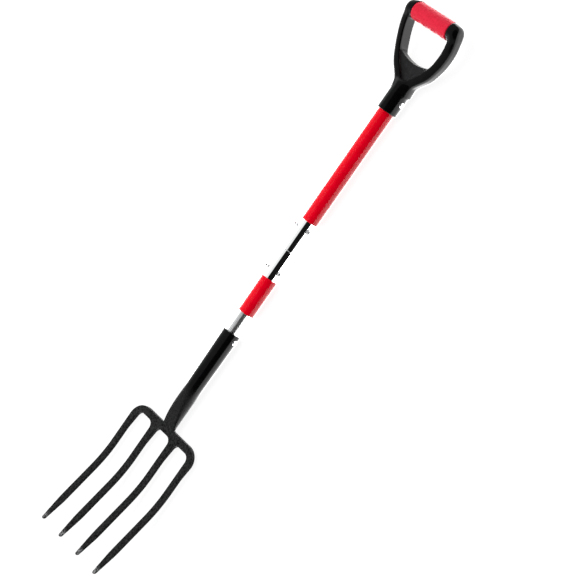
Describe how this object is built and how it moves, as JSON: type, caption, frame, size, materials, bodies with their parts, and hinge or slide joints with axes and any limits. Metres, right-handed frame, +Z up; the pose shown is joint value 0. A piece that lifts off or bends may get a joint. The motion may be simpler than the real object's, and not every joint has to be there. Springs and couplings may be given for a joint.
{
  "type": "digging fork",
  "caption": "Digging fork with flat curved tines, a socketed two-piece steel shaft with red sleeves and a canted D-handle with a rubber grip.",
  "frame": {"origin": "on the surface that the tool lies on, below the middle of its length, with the shaft on the XZ plane", "axes": "+X along the shaft towards the D-handle, +Y across the tines, +Z up, the way the tine tips curve"},
  "size_m": [1.1184, 0.1756, 0.068],
  "materials": {
    "forged_head": "matt black powder coat with a fine texture",
    "socket_paint": "black powder coat, satin to gloss",
    "weld": "rippled weld bead under matt black paint",
    "chrome_tube": "polished chrome plate",
    "inner_steel": "zinc plated, hidden inside the tubes",
    "red_sleeve": "glossy red plastic sleeve",
    "handle_plastic": "satin black moulded plastic",
    "grip_rubber": "soft red rubber with a fine matt grain",
    "fastener_steel": "bright zinc plated steel"
  },
  "bodies": {
    "root": {"fork_head": "forged_head", "head_socket": "socket_paint", "far_socket_weld": "weld", "near_socket_weld": "weld", "lower_tube": "chrome_tube", "upper_tube": "chrome_tube", "tube_connector": "inner_steel", "lower_sleeve": "red_sleeve", "upper_sleeve": "red_sleeve", "handle_yoke": "handle_plastic", "hand_grip": "grip_rubber", "lower_joint_bolt": "fastener_steel", "lower_head_washer": "fastener_steel", "lower_nut_washer": "fastener_steel", "lower_joint_nut": "fastener_steel", "upper_joint_bolt": "fastener_steel", "upper_head_washer": "fastener_steel", "upper_nut_washer": "fastener_steel", "upper_joint_nut": "fastener_steel", "socket_rivet": "fastener_steel", "handle_rivet": "fastener_steel"}
  },
  "joints": []
}
